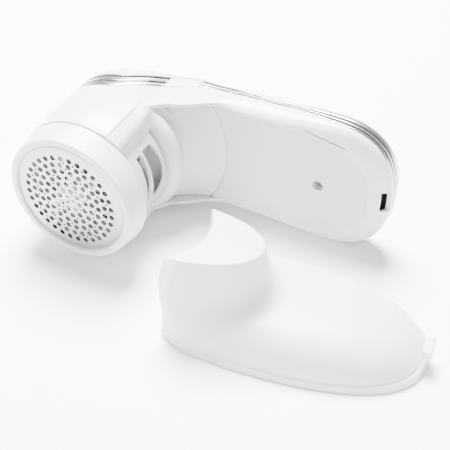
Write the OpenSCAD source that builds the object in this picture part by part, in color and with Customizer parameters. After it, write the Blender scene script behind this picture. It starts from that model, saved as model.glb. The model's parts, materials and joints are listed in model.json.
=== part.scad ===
// Rechargeable fabric shaver lying on its side, with its lint bin taken off and set down in front.
// Row frame: X along the handle, Y from the foil to the back of the head, Z up from the table.
// Tool frame, used by every shaver part: x along the handle from the head axis, y across the
// handle (the power button is on the -y side), z along the head axis from the foil to the back.

/* [Housing] */
// Radius of the head housing at its widest
head_r = 35; // [33:0.1:36]
// Radius of the head tube behind the cutter ring
tube_r = 33.6; // [33:0.1:34]
// Half width of the handle at its waist
waist_w = 31; // [29:0.1:31.5]
// Half width of the handle at its widest
bulge_w = 33; // [32.5:0.1:34]
// Distance from the head axis to the far end of the handle
handle_end_x = 129; // [127:0.5:131]
// Height of the handle's flat face above the foil plane
face_z = 63; // [62:0.5:64]
// Greatest height of the back shell above the foil plane
crown_z = 83.6; // [83.4:0.1:86]
// Wall thickness of the shells
wall = 2; // [1.6:0.1:2.2]

/* [Cutter] */
// Radius of the perforated foil
foil_r = 28; // [27.5:0.1:28]
// Thickness of the foil
foil_t = 0.5; // [0.3:0.1:0.6]
// Height of the cutter ring
ring_h = 12.6; // [12:0.1:12.8]
// Number of blades on the rotor
blade_count = 3; // [2:1:4]
// Rings of holes in the foil
hole_rings = 7; // [5:1:7]

/* [Lint outlet] */
// Outer radius of the blade chamber
chamber_r = 28; // [27.8:0.1:28.2]
// Half angle of the recess that the lint bin covers
recess_a = 52.5; // [51:0.5:54]
// Half angle of the outlet windows
window_a = 36; // [30:1:38]
// Radius at which the neck meets the handle's flat face
neck_r = 48; // [47:0.5:49]

/* [Lint bin] */
// Height of the lint bin's ankle above its rim
bin_h = 44; // [42:0.5:45]
// Half width of the lint bin's rim
bin_w = 32.5; // [31.5:0.5:33]
// Distance from the head axis to the bin's toe
bin_toe_x = 125.6; // [124:0.2:127]
// Height of the bin's toe
bin_toe_h = 21; // [19:0.5:23]
// Wall thickness of the bin
bin_t = 1.6; // [1.4:0.1:1.8]
// Turn of the bin on the table
bin_yaw = 6; // [4:0.5:8]
// Where the bin stands along the handle, measured from the head axis
bin_x = 44.2; // [43:0.2:46]
// Where the bin stands in front of the foil plane
bin_y = -2.6; // [-5:0.2:-2]

/* [Battery and motor] */
// Radius of the battery cell
cell_r = 7; // [6.5:0.1:7.2]
// Length of the battery cell
cell_l = 50; // [48:1:50]
// Radius of the motor
motor_r = 12; // [11:0.5:12.5]
// Length of the motor can
motor_l = 27; // [25:1:28]

/* [Hidden] */
$fn = 64;

white = "white";
bright = "silver";
steel = "lightgray";
milky = "whitesmoke";

// ---- where things stand ----
bulge_x = 98;
tilt = asin((head_r - bulge_w) / bulge_x);
box_low_x = -head_r;
bin_mid_x = 50;
bin_heel_a = 48;
tab_out = 1.6;
tab_w = 10;
box_high_x = bin_x + (bin_toe_x + tab_out) * cos(bin_yaw) + tab_w / 2 * sin(bin_yaw);
box_low_y = bin_y + bin_mid_x * sin(bin_yaw) - norm([bin_heel_a * sin(bin_yaw), bin_w * cos(bin_yaw)]);
box_high_y = crown_z;
shift_x = -(box_low_x + box_high_x) / 2;
shift_y = -(box_low_y + box_high_y) / 2;

module in_tool() {
    translate([shift_x, shift_y, head_r]) rotate([0, tilt, 0]) rotate([-90, 0, 0]) children();
}

module on_table() {
    translate([shift_x + bin_x, shift_y + bin_y, 0]) rotate([0, 0, bin_yaw]) children();
}

// ---- the housing's outline and heights ----
function smooth(t) = let(c = min(1, max(0, t))) c * c * (3 - 2 * c);
function mix(a, b, t) = a + (b - a) * t;

sweep_a = 70;
join_x = head_r * cos(sweep_a);
join_w = head_r * sin(sweep_a);
join_slope = -1 / tan(sweep_a);
waist_x = 62;
end_power = 2.4;
arc_steps = 12;
side_steps = 12;
end_steps = 8;
half_steps = arc_steps + side_steps + end_steps;

function hermite(t, p0, m0, p1, m1) =
    (2 * pow(t, 3) - 3 * t * t + 1) * p0 + (pow(t, 3) - 2 * t * t + t) * m0
    + (3 * t * t - 2 * pow(t, 3)) * p1 + (pow(t, 3) - t * t) * m1;
function side_w(x) = x < waist_x
    ? hermite((x - join_x) / (waist_x - join_x), join_w, join_slope * (waist_x - join_x), waist_w, 0)
    : hermite((x - waist_x) / (bulge_x - waist_x), waist_w, 0, bulge_w, 0);

// Half of the widest outline, from the head's front to the handle's end
function head_point(i) = let(a = 180 - (180 - sweep_a) * i / arc_steps)
    [head_r * cos(a), head_r * sin(a)];
function side_point(i) = let(x = mix(join_x, bulge_x, i / side_steps)) [x, side_w(x)];
function end_point(i, a, b, x0) = let(t = 90 * i / end_steps)
    [x0 + a * pow(sin(t), 2 / end_power), b * pow(max(0, cos(t)), 2 / end_power)];
wide_half = [for (i = [0:half_steps])
    i <= arc_steps ? head_point(i)
    : i <= arc_steps + side_steps ? side_point(i - arc_steps)
    : end_point(i - arc_steps - side_steps, handle_end_x - bulge_x, bulge_w, bulge_x)];

// Half of the flat face's outline: the same number of points, so the two can be lofted
face_w = 27.5;
face_end_x = 121;
face_round_x = 86;
function face_side(i) = let(t = i / side_steps, x = mix(join_x, face_round_x, t))
    [x, mix(side_w(x) - 0.3 * min(1, 3 * t), face_w, smooth((x - 36) / 16))];
face_half = [for (i = [0:half_steps])
    i <= arc_steps ? head_point(i)
    : i <= arc_steps + side_steps ? face_side(i - arc_steps)
    : end_point(i - arc_steps - side_steps, face_end_x - face_round_x, face_w, face_round_x)];

// Heights along the head axis of the seam lines, which all follow x
band_front = 44.2;
band_back = 71.8;
band_end = 68.2;
function band_low(x) = mix(band_front, band_back, smooth((x + 8) / 44))
    - (band_back - band_end) * smooth((x - 70) / 35);
function band_high(x) = mix(55, 76, smooth((x + 6) / 36));
cheek_drop = 12.5;
function face_height(x) = mix(band_front - 4, face_z - cheek_drop, smooth((x - 13) / 14))
    + cheek_drop * smooth((x - 24) / 27);
function crown(x) = crown_z - 2 * smooth((x - 10) / 60);

// Outline moved inwards by g, as a closed loop of points round the housing
function turn(v) = [v[1], -v[0]] / norm(v);
function inward(half, i, g) = let(
        before = half[max(0, i - 1)],
        after = half[min(half_steps, i + 1)],
        along = (i == 0 || i == half_steps) ? [0, (i == 0 ? 1 : -1)] : after - before)
    half[i] + turn(along) * g;
function full_loop(half) = concat(half, [for (i = [half_steps - 1:-1:1]) [half[i][0], -half[i][1]]]);
function inset(half, g) = full_loop([for (i = [0:half_steps]) inward(half, i, g)]);
loop_n = 2 * half_steps;
function spine_x(i) = let(h = i <= half_steps ? i : loop_n - i)
    h <= arc_steps ? 0 : h >= arc_steps + side_steps ? bulge_x : bulge_x * (h - arc_steps) / side_steps;

// Side wall from the flat face to the silver band, t = 0 to 1
function wall_loop(t, g) = let(
        low = inset(face_half, g),
        high = inset(wide_half, g))
    [for (i = [0:loop_n - 1]) let(
        p = mix(low[i], high[i], sin(90 * t)),
        rise = 0.35 * t + 0.65 * (1 - cos(90 * t)))
        [p[0], p[1], mix(face_height(p[0]), band_low(p[0]), rise)]];
// Back dome from the silver band to the crown, t = 0 to 1
function dome_loop(t, g) = let(rim = inset(wide_half, g))
    [for (i = [0:loop_n - 1]) let(
        m = [spine_x(i), 0],
        p = m + (rim[i] - m) * cos(86 * t))
        [p[0], p[1], mix(band_high(p[0]), crown(p[0]) - g, sin(90 * t))]];
function band_loop(g, high, gap = 0) = [for (p = inset(wide_half, g))
    [p[0], p[1], high ? band_high(p[0]) - gap : band_low(p[0]) + gap]];
function lowered(loop, d) = [for (p = loop) [p[0], p[1], p[2] - d]];

// Gap on each side of the silver band
seam = 0.03;

// Skin through a list of loops that ends where it began: a closed ring of wall
function ring_faces(rows, n) = [for (r = [0:rows - 1], i = [0:n - 1]) let(
        a = r * n + i,
        b = r * n + (i + 1) % n,
        c = ((r + 1) % rows) * n + (i + 1) % n,
        d = ((r + 1) % rows) * n + i)
    each [[a, b, c], [a, c, d]]];
module wall_ring(loops) {
    polyhedron(points = [for (l = loops) each l],
        faces = ring_faces(len(loops), loop_n),
        convexity = 6);
}

// Skin through loops, closed across the first and the last loop
function side_faces(rows, n) = [for (r = [0:rows - 2], i = [0:n - 1]) let(
        a = r * n + i,
        b = r * n + (i + 1) % n,
        c = (r + 1) * n + (i + 1) % n,
        d = (r + 1) * n + i)
    each [[a, b, c], [a, c, d]]];
function cap_faces(first, n, up) = let(h = n / 2) [for (i = [0:h - 1]) let(
        a = first + i,
        b = first + i + 1,
        c = first + (n - i - 1) % n,
        d = first + (n - i) % n)
    each (i == 0 ? [up ? [a, b, c] : [a, c, b]]
        : i == h - 1 ? [up ? [a, b, d] : [a, d, b]]
        : up ? [[a, b, c], [a, c, d]] : [[a, c, b], [a, d, c]])];
module closed_loft(loops) {
    rows = len(loops);
    polyhedron(points = [for (l = loops) each l],
        faces = concat(side_faces(rows, loop_n), cap_faces(0, loop_n, false),
            cap_faces((rows - 1) * loop_n, loop_n, true)),
        convexity = 6);
}

module tube(r_out, r_in, z0, z1) {
    translate([0, 0, z0]) linear_extrude(z1 - z0) difference() {
        circle(r_out);
        circle(r_in);
    }
}

// Wedge of space round +x, half angle a, between two heights
module wedge(a, r, z0, z1) {
    translate([0, 0, z0]) linear_extrude(z1 - z0) polygon([[0, 0], [r, -r * tan(a)], [r, r * tan(a)]]);
}

// ---- openings in the shells ----
usb_z = 65.9;
usb_w = 8.6;
usb_h = 3.6;
screw_x = 94.9;
button_x0 = 15;
button_x1 = 29;

module usb_opening() {
    translate([handle_end_x - 16, -usb_w / 2, usb_z - usb_h / 2]) cube([24, usb_w, usb_h]);
}

// ---- shells ----
tube_top = 42;
collar_z = 13;
post_z = face_z + 6.2;
screw_seat_z = face_z + 3.15;

module front_shell() {
    color(white) in_tool() difference() {
        union() {
            rotate([0, 0, recess_a]) rotate_extrude(angle = 360 - 2 * recess_a, $fn = 96)
                polygon([[tube_r - wall, collar_z], [tube_r, collar_z], [head_r - 0.4, collar_z + 12],
                    [head_r - 0.3, tube_top], [head_r - wall + 0.3, tube_top],
                    [head_r - wall - 0.4, collar_z + 12]]);
            tube(tube_r - wall + 0.8, chamber_r + 0.1, collar_z + 0.5, collar_z + 2.1);
            for (s = [-1, 1]) rotate([0, 0, s * recess_a])
                translate([chamber_r + 0.4, s > 0 ? 0.2 : -1.8, collar_z + 1])
                    cube([5.05, 1.6, floor_z - 1.2 - collar_z]);
            wall_ring([wall_loop(0, 0), wall_loop(0.3, 0), wall_loop(0.65, 0), wall_loop(1, 0),
                wall_loop(1, wall), wall_loop(0.65, wall), wall_loop(0.3, wall), wall_loop(0, wall)]);
        }
        usb_opening();
    }
}

module back_shell() {
    color(white) in_tool() difference() {
        union() {
            difference() {
                closed_loft([for (t = [0, 0.2, 0.4, 0.6, 0.8, 1]) dome_loop(t, 0)]);
                closed_loft(concat([lowered(dome_loop(0, wall), 3)],
                    [for (t = [0, 0.25, 0.5, 0.75, 1]) dome_loop(t, wall)]));
            }
            translate([screw_x, 0, post_z]) cylinder(r = 3.4, h = crown_z - 3 - post_z);
        }
        translate([screw_x, 0, post_z - 1]) cylinder(r = 1.35, h = 11);
    }
}

module trim_frame() {
    color(bright) in_tool() difference() {
        wall_ring([band_loop(0.1, false, seam), band_loop(0.1, true, seam), band_loop(wall, true, seam),
            band_loop(wall, false, seam)]);
        translate([button_x0, -head_r - 5, 40]) cube([button_x1 - button_x0, head_r, 50]);
    }
}

module handle_panel() {
    panel_gap = 0.3;
    color(white) in_tool() translate([0, 0, face_z]) difference() {
        union() {
            linear_extrude(wall) difference() {
                polygon(inset(face_half, wall + panel_gap));
                circle(neck_r + 0.2);
                translate([-head_r, -head_r]) square([head_r + 20, 2 * head_r]);
            }
            translate([screw_x, 0, 0]) cylinder(r = 4.2, h = 6);
        }
        translate([screw_x, 0, -1]) cylinder(r = 2.6, h = 6);
        translate([screw_x, 0, 3]) cylinder(r = 1.4, h = 6);
    }
}

// ---- lint path ----
slot_low = 22.5;
slot_high = 26.4;
window_low = 28;
window_high = 38.6;
floor_z = 40;
// Height of the neck's outward curve, t = 0 at the chamber to 1 at the flat face
function flare_height(t) = floor_z + 5 + (face_z - floor_z - 5) * pow(t, 0.8);

module blade_chamber() {
    inner = chamber_r - wall;
    color(white) in_tool() difference() {
        union() {
            tube(chamber_r, inner, 5, floor_z + wall);
            tube(chamber_r + 1.6, chamber_r - 1, 6, collar_z - 0.1);
            tube(inner + 1, 9, floor_z, floor_z + wall);
            intersection() {
                rotate_extrude($fn = 96) polygon(concat(
                    [[inner, floor_z], [chamber_r, floor_z]],
                    [for (a = [0:15:90]) [chamber_r + 3 * sin(a), floor_z + 5 - 5 * cos(a)]],
                    [for (t = [0.1:0.1:1]) [mix(chamber_r + 3, neck_r, t), flare_height(t)]],
                    [[neck_r, face_z + wall]],
                    [for (t = [1:-0.25:0]) [mix(chamber_r, neck_r - wall, t), flare_height(t) + wall]],
                    [[inner, floor_z + wall]]));
                translate([0, 0, floor_z - 1]) linear_extrude(40) difference() {
                    polygon(inset(face_half, wall + 0.3));
                    translate([-80, -40]) square([99.4, 80]);
                }
            }
        }
        for (z = [[slot_low, slot_high], [window_low, window_high]]) wedge(window_a, 40, z[0], z[1]);
        for (s = [-1, 1]) translate([0, s * (motor_r + 5), floor_z - 1]) cylinder(r = 1.25, h = 4);
    }
}

// ---- cutter ----
module cutter_ring() {
    color(white) in_tool() difference() {
        rotate_extrude($fn = 96) polygon([[foil_r + 0.15, 0.5], [foil_r + 0.6, 0], [31, 0], [31.6, 0.7],
            [33.2, ring_h], [31.4, ring_h], [29.9, 3], [26.6, 2.2], [26.6, 1.2], [foil_r + 0.15, 1.2]]);
    }
}

// Three holes round the middle, then rings of holes at an even spacing
first_ring = 1.8;
first_hole_r = 0.8;
ring_pitch = 3.4;
hole_pitch = 4.35;
hole_r = 1.25;
function hole_count(k) = round(360 / (hole_pitch / (first_ring + ring_pitch * k) * 180 / PI));
module foil() {
    color(steel) in_tool() translate([0, 0, 0.5]) linear_extrude(foil_t) difference() {
        circle(foil_r, $fn = 96);
        for (k = [0:hole_rings - 1], j = [0:hole_count(k) - 1])
            rotate([0, 0, 360 * j / hole_count(k) + 12 * k]) translate([first_ring + ring_pitch * k, 0])
                circle(k == 0 ? first_hole_r : hole_r, $fn = 16);
    }
}

module blade_hub() {
    color(white) in_tool() difference() {
        union() {
            translate([0, 0, 3]) cylinder(r = 8, h = 3);
            translate([0, 0, 6]) cylinder(r = 5.5, h = 6);
        }
        translate([0, 0, 5.8]) cylinder(r = 3.55, h = 12);
    }
}

module blades() {
    color(steel) in_tool() for (i = [0:blade_count - 1]) rotate([0, 0, 360 * i / blade_count + 20])
        translate([4.5, -3.5, 1.5]) union() {
            cube([9, 7, 1.5]);
            translate([3.8, 0, 0]) cube([16.7, 0.9, 4]);
        }
}

module blade_spring() {
    color(steel) in_tool() tube(5.2, 3.9, 12, 20.2);
}

module drive_spindle() {
    color("gainsboro") in_tool() difference() {
        union() {
            translate([0, 0, 6.2]) cylinder(r = 3.5, h = 14.2);
            translate([0, 0, 20.2]) cylinder(r = 5.4, h = 18);
        }
        translate([0, 0, 12]) cylinder(r = 1.02, h = 30);
    }
}

module motor_shaft() {
    color(steel) in_tool() translate([0, 0, 12.5]) cylinder(r = 1, h = 58.3);
}

module shaft_seal() {
    color("dimgray") in_tool() tube(9, 1.6, floor_z - 0.8, floor_z + 0.8);
}

// ---- drive ----
motor_z = 42.4;
module motor_can() {
    color(bright) in_tool() difference() {
        translate([0, 0, motor_z]) cylinder(r = motor_r, h = motor_l);
        translate([0, 0, motor_z + 1.2]) cylinder(r = motor_r - 1, h = motor_l);
        translate([0, 0, motor_z - 1]) cylinder(r = 1.05, h = 4);
    }
}

module motor_end_cap() {
    color("black") in_tool() translate([0, 0, motor_z + motor_l]) difference() {
        union() {
            cylinder(r = motor_r, h = 2);
            cylinder(r = 3.5, h = 3.5);
        }
        translate([0, 0, -1]) cylinder(r = 1.05, h = 2.5);
    }
}

module motor_bracket() {
    color("gainsboro") in_tool() difference() {
        union() {
            tube(motor_r + 2.1, motor_r + 0.1, motor_z - 0.4, motor_z + 10);
            for (s = [-1, 1]) translate([-4, s * (motor_r + 4) - 4, motor_z - 0.4]) cube([8, 8, 2.4]);
        }
        translate([0, 0, motor_z - 1]) cylinder(r = motor_r + 0.1, h = 14);
        for (s = [-1, 1]) translate([0, s * (motor_r + 5), motor_z - 1]) cylinder(r = 1.3, h = 5);
    }
}

module screw(head_radius, head_height, shank_r, length) {
    difference() {
        union() {
            cylinder(r = head_radius, h = head_height);
            translate([0, 0, head_height]) cylinder(r = shank_r, h = length);
        }
        for (a = [0, 90]) rotate([0, 0, a]) translate([-head_radius * 0.6, -0.3, -1])
            cube([head_radius * 1.2, 0.6, 1.8]);
    }
}

module motor_screws() {
    color(steel) in_tool() for (s = [-1, 1])
        translate([0, s * (motor_r + 5), motor_z + 3.6]) mirror([0, 0, 1])
            screw(2.2, 1.6, 1.2, 3.6);
}

module housing_screws() {
    color(steel) in_tool() translate([screw_x, 0, screw_seat_z]) screw(2.4, 1.8, 1.3, 10);
}

// ---- power ----
cell_y = 0;
cell_z = 72.4;
cell_x = 38;
module battery() {
    color("steelblue") in_tool() translate([cell_x, cell_y, cell_z]) rotate([0, 90, 0]) union() {
        cylinder(r = cell_r, h = cell_l);
        cylinder(r = 2.2, h = cell_l + 1);
    }
}

module battery_tray() {
    color("gainsboro") in_tool() difference() {
        translate([cell_x + 5, cell_y - cell_r - 1.2, face_z + wall])
            cube([cell_l - 10, 2 * cell_r + 2.4, 6]);
        translate([cell_x - 1, cell_y, cell_z]) rotate([0, 90, 0])
            cylinder(r = cell_r + 0.05, h = cell_l + 4);
    }
}

module battery_tabs() {
    color(steel) in_tool() for (x = [cell_x - 0.4, cell_x + cell_l + 1])
        translate([x, cell_y - 2.5, cell_z - 4])
            cube([0.4, 5, 8]);
}

board_x = 99.6;
board_z = usb_z + 1.35;
module circuit_board() {
    color("seagreen") in_tool() translate([board_x, -12, board_z]) cube([20.4, 24, 1.2]);
}

module usb_socket() {
    color(bright) in_tool() difference() {
        translate([119.2, -3.75, usb_z - 1.35]) cube([5.4, 7.5, 2.7]);
        translate([120, -3.4, usb_z - 1]) cube([6, 6.8, 2]);
    }
}

module charge_led() {
    color("orange") in_tool() translate([116.5, 7, board_z - 1]) cube([1.6, 0.8, 1]);
}

module switch_board() {
    color("seagreen") in_tool() translate([15, -25.4, 63]) cube([12, 1.2, 9]);
}

module tact_switch() {
    color("dimgray") in_tool() translate([18, -27.2, 64.5]) union() {
        cube([6, 1.8, 6]);
        translate([3, 0, 3]) rotate([90, 0, 0]) cylinder(r = 1.2, h = 0.7);
    }
}

// Block that fills the gap in the silver band; it is pressed in towards the handle's middle
button_gap = 0.25;
function in_gap(i) = wide_half[i][0] > button_x0 - 6 && wide_half[i][0] < button_x1 + 8;
module power_button() {
    rim = inset(wide_half, 0);
    back = inset(wide_half, 1.6);
    ids = [for (i = [half_steps:-1:0]) if (in_gap(i)) loop_n - i];
    n = len(ids);
    rows = [for (i = ids) [
        [rim[i][0], rim[i][1], band_low(rim[i][0]) + button_gap],
        [rim[i][0], rim[i][1], band_high(rim[i][0]) - button_gap],
        [back[i][0], back[i][1], band_high(back[i][0]) - button_gap],
        [back[i][0], back[i][1], band_low(back[i][0]) + button_gap]]];
    skin = concat(
        [for (r = [0:n - 2], j = [0:3]) let(a = 4 * r + j, b = 4 * r + (j + 1) % 4)
            each [[a, b + 4, b], [a, a + 4, b + 4]]],
        [[0, 1, 2], [0, 2, 3], [4 * n - 4, 4 * n - 2, 4 * n - 3], [4 * n - 4, 4 * n - 1, 4 * n - 2]]);
    color(white) in_tool() union() {
        intersection() {
            polyhedron(points = [for (r = rows) each r], faces = skin, convexity = 4);
            translate([button_x0 + button_gap, -head_r - 5, 40])
                cube([button_x1 - button_x0 - 2 * button_gap, head_r, 50]);
        }
        translate([21, -28.75, 67.5]) rotate([90, 0, 0]) cylinder(r = 1.6, h = 1);
    }
}

module lead(points, r) {
    for (i = [0:len(points) - 2]) hull() {
        translate(points[i]) sphere(r, $fn = 8);
        translate(points[i + 1]) sphere(r, $fn = 8);
    }
}

module motor_leads() {
    color("crimson") in_tool() for (s = [-1, 1])
        lead([[s * 6, -4, motor_z + motor_l + 2.7], [18, -8 + s, 76.5], [30, -14 + s, 73]], 0.6);
}

module battery_leads() {
    color("black") in_tool() for (s = [-1, 1])
        lead([[cell_x + cell_l + 2, s * 1.2, cell_z + s], [cell_x + cell_l + 2.4, 5.5 + s, cell_z],
            [board_x + 4, 7 + s, board_z + 2]], 0.6);
}

// ---- lint bin: x from the head axis to the toe, z up from the rim ----
bin_power = 2.5;
function toe_point(t, g, toe, w) = [bin_mid_x + (toe - bin_mid_x - g) * pow(abs(cos(t)), 2 / bin_power),
    (w - g) * sign(t) * pow(abs(sin(t)), 2 / bin_power)];
function heel_point(t, g, w) = [bin_mid_x + (bin_heel_a - g) * cos(t), (w - g) * sin(t)];
function bin_outline(g, toe, w, n = 15) = concat(
    [for (i = [-n:n]) toe_point(90 * i / n, g, toe, w)],
    [for (i = [1:n - 1]) heel_point(90 + 90 * i / n, g, w)],
    [for (i = [n:-1:2]) heel_point(-90 - 90 * (i - 1) / n, g, w)]);

module slice(z, g) {
    translate([0, 0, z]) linear_extrude(0.05) polygon(bin_outline(g, bin_toe_x, bin_w, 8));
}

// The heel of the rim, and the ankle's top, both rounded towards the toe. The ankle sits a
// little to one side, and its arched edge is cut a few degrees off square.
ankle_x = 15;
ankle_y = -3.4;
ankle_a = 38;
ankle_b = 18.6;
horn_cut = 12.4;
module heel_slice(z, g) {
    translate([0, 0, z]) linear_extrude(0.05) intersection() {
        polygon([for (t = [0:10:350]) heel_point(t, g, bin_w)]);
        translate([24, 0]) circle(35 - g, $fn = 48);
    }
}

module ankle_slice(z, g) {
    translate([0, 0, z]) linear_extrude(0.05) polygon([for (t = [-105:15:105])
        [ankle_x + (ankle_a - g) * cos(t), ankle_y + (ankle_b - g) * sin(t)]]);
}

module bin_form(g) {
    hull() {
        slice(0, g);
        slice(6, g + 0.6);
        slice(bin_toe_h * 0.62, g + 3.2);
        slice(bin_toe_h * 0.88, g + 8);
        slice(bin_toe_h - g, g + 15);
    }
    hull() {
        heel_slice(0, g);
        ankle_slice(bin_h - 0.05 - g, g);
    }
}

module lint_bin() {
    color(milky) on_table() union() {
        difference() {
            bin_form(0);
            translate([0, 0, -0.1]) bin_form(bin_t);
            translate([0, 0, -1]) cylinder(r = chamber_r - 1.1, h = bin_h + 2, $fn = 96);
            translate([12, -22, -1]) rotate([0, 0, -horn_cut]) translate([-60, -60, 0])
                cube([60, 120, bin_h + 2]);
        }
        translate([bin_toe_x - 2, -tab_w / 2, 7]) cube([tab_out + 2, tab_w, 6]);
    }
}

front_shell();
back_shell();
trim_frame();
handle_panel();
blade_chamber();
cutter_ring();
foil();
blade_hub();
blades();
blade_spring();
drive_spindle();
motor_shaft();
shaft_seal();
motor_can();
motor_end_cap();
motor_bracket();
motor_screws();
housing_screws();
battery();
battery_tray();
battery_tabs();
circuit_board();
usb_socket();
charge_led();
switch_board();
tact_switch();
power_button();
motor_leads();
battery_leads();
lint_bin();
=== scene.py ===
"""Looks of the fabric shaver: smooth skins, materials, light and camera round the CAD frame."""
import json
import math

import bpy
import numpy as np
from mathutils import Matrix, Vector
from mathutils.geometry import delaunay_2d_cdt


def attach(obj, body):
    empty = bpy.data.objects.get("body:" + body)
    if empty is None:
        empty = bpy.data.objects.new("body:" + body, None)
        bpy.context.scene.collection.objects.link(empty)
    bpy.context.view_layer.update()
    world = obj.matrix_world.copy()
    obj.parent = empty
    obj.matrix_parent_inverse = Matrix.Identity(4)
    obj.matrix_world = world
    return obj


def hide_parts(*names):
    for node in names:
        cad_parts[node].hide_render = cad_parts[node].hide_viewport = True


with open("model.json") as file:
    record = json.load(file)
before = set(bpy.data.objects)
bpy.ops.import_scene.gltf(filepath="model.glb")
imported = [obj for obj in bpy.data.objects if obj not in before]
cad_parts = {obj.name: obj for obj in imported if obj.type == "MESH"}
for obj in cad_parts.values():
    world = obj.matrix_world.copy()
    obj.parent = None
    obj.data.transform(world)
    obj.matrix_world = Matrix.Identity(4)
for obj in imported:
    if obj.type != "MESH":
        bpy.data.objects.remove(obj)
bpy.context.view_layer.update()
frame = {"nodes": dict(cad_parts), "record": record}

# ---- the CAD's driving sizes, mm ----
MM = 0.001
HEAD_R, TUBE_R, WAIST_W, BULGE_W = 35.0, 33.6, 31.0, 33.0
HANDLE_END, FACE_Z, CROWN_Z, WALL = 129.0, 63.0, 83.6, 2.0
RING_H, CHAMBER_R, NECK_R = 12.6, 28.0, 48.0
BULGE_X, WAIST_X, SWEEP_A, END_POWER = 98.0, 62.0, 70.0, 2.4
BAND_FRONT, BAND_BACK, BAND_END = 44.2, 71.8, 68.2
FACE_W, FACE_END, FACE_ROUND = 27.5, 121.0, 86.0
COLLAR_Z, FLOOR_Z, SCREW_X, USB_Z = 13.0, 40.0, 94.9, 65.9
BUTTON_X0, BUTTON_X1, BUTTON_GAP = 15.0, 29.0, 0.25
BIN_X, BIN_Y, BIN_YAW = 44.2, -2.6, 6.0
BIN_W, BIN_H, BIN_TOE, BIN_TOE_H, BIN_T = 32.5, 44.0, 125.6, 21.0, 1.6
BIN_MID, BIN_HEEL, TAB_OUT, TAB_W = 50.0, 48.0, 1.6, 10.0
ANKLE_Y, HORN_SLOPE = -3.4, 0.22
TILT = math.asin((HEAD_R - BULGE_W) / BULGE_X)
YAW = math.radians(BIN_YAW)
BOX_HI_X = BIN_X + (BIN_TOE + TAB_OUT) * math.cos(YAW) + TAB_W / 2 * math.sin(YAW)
BOX_LO_Y = BIN_Y + BIN_MID * math.sin(YAW) - math.hypot(BIN_HEEL * math.sin(YAW), BIN_W * math.cos(YAW))
SHIFT_X = -(BOX_HI_X - HEAD_R) / 2
SHIFT_Y = -(BOX_LO_Y + CROWN_Z) / 2


def smooth(t):
    t = np.clip(t, 0.0, 1.0)
    return t * t * (3 - 2 * t)


def mix(a, b, t):
    return a + (b - a) * t


def tool_to_row(p):
    """Points in the shaver's tool frame, mm, to the row frame, metres."""
    p = np.asarray(p, float)
    x, y, z = p[..., 0], p[..., 2], -p[..., 1]
    c, s = math.cos(TILT), math.sin(TILT)
    return np.stack([x * c + z * s + SHIFT_X, y + SHIFT_Y, -x * s + z * c + HEAD_R], -1) * MM


def bin_to_row(p):
    """Points in the lint bin's frame, mm, to the row frame, metres."""
    p = np.asarray(p, float)
    c, s = math.cos(YAW), math.sin(YAW)
    return np.stack([SHIFT_X + BIN_X + p[..., 0] * c - p[..., 1] * s,
                     SHIFT_Y + BIN_Y + p[..., 0] * s + p[..., 1] * c, p[..., 2]], -1) * MM


# ---- mesh making ----
def make(name, verts, faces, mat, body, nodes=(), crease=32, to_row=tool_to_row):
    mesh = bpy.data.meshes.new(name)
    mesh.from_pydata(to_row(verts).tolist(), [], faces if isinstance(faces, list) else faces.tolist())
    mesh.validate()
    mesh.polygons.foreach_set("use_smooth", [True] * len(mesh.polygons))
    mesh.set_sharp_from_angle(angle=math.radians(crease))
    mesh.materials.append(mat)
    obj = bpy.data.objects.new(name, mesh)
    bpy.context.scene.collection.objects.link(obj)
    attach(obj, body)
    if nodes:
        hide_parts(*nodes)
    return obj


def grid_faces(rows, cols, wrap_rows=False, wrap_cols=True, flip=False, base=0):
    r = np.arange(rows if wrap_rows else rows - 1)
    c = np.arange(cols if wrap_cols else cols - 1)
    r, c = np.meshgrid(r, c, indexing="ij")
    r1, c1 = (r + 1) % rows, (c + 1) % cols
    quads = np.stack([r * cols + c, r * cols + c1, r1 * cols + c1, r1 * cols + c], -1).reshape(-1, 4) + base
    return quads[:, ::-1] if flip else quads


def skin(name, loops, mat, body, nodes=(), wrap_rows=True, wrap_cols=True, flip=False, crease=32):
    p = np.asarray(loops)
    rows, cols = p.shape[:2]
    faces = grid_faces(rows, cols, wrap_rows, wrap_cols, flip)
    return make(name, p.reshape(-1, 3), faces, mat, body, nodes, crease)


def merge(parts):
    """Several (verts, faces) as one."""
    verts, faces, base = [], [], 0
    for v, f in parts:
        verts.append(np.asarray(v, float).reshape(-1, 3))
        faces += [tuple(int(i) + base for i in q) for q in f]
        base += len(verts[-1])
    return np.vstack(verts), faces


def revolve(profile, cols=192, a0=0.0, a1=360.0, ripple=None):
    """Closed (r, z) profile turned about the head axis."""
    p = np.asarray(profile, float)
    full = abs(a1 - a0) >= 360
    a = np.radians(np.linspace(a0, a1, cols, endpoint=not full))
    r = p[:, None, 0] + (0 if ripple is None else ripple(p[:, None, 0], p[:, None, 1], a[None, :]))
    pts = np.stack([r * np.cos(a), r * np.sin(a), np.broadcast_to(p[:, None, 1], (len(p), cols))], -1)
    faces = grid_faces(len(p), cols, True, full, flip=False).tolist()
    if not full:
        faces.append(tuple(i * cols for i in range(len(p))))
        faces.append(tuple(i * cols + cols - 1 for i in range(len(p)))[::-1])
    return pts.reshape(-1, 3), faces


def rounded(profile, radii, steps=5):
    """Closed polygon with its corners rounded by the given radii."""
    p = np.asarray(profile, float)
    out = []
    for i, r in enumerate(radii):
        a, b, c = p[i - 1], p[i], p[(i + 1) % len(p)]
        u, v = (a - b) / np.linalg.norm(a - b), (c - b) / np.linalg.norm(c - b)
        if r <= 0:
            out.append(b)
            continue
        half = math.acos(float(np.clip(u @ v, -1, 1))) / 2
        cut = min(r / math.tan(half), 0.45 * np.linalg.norm(a - b), 0.45 * np.linalg.norm(c - b))
        for t in np.linspace(0, 1, steps):
            out.append((1 - t) ** 2 * (b + u * cut) + 2 * t * (1 - t) * b + t * t * (b + v * cut))
    return np.array(out)


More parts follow.
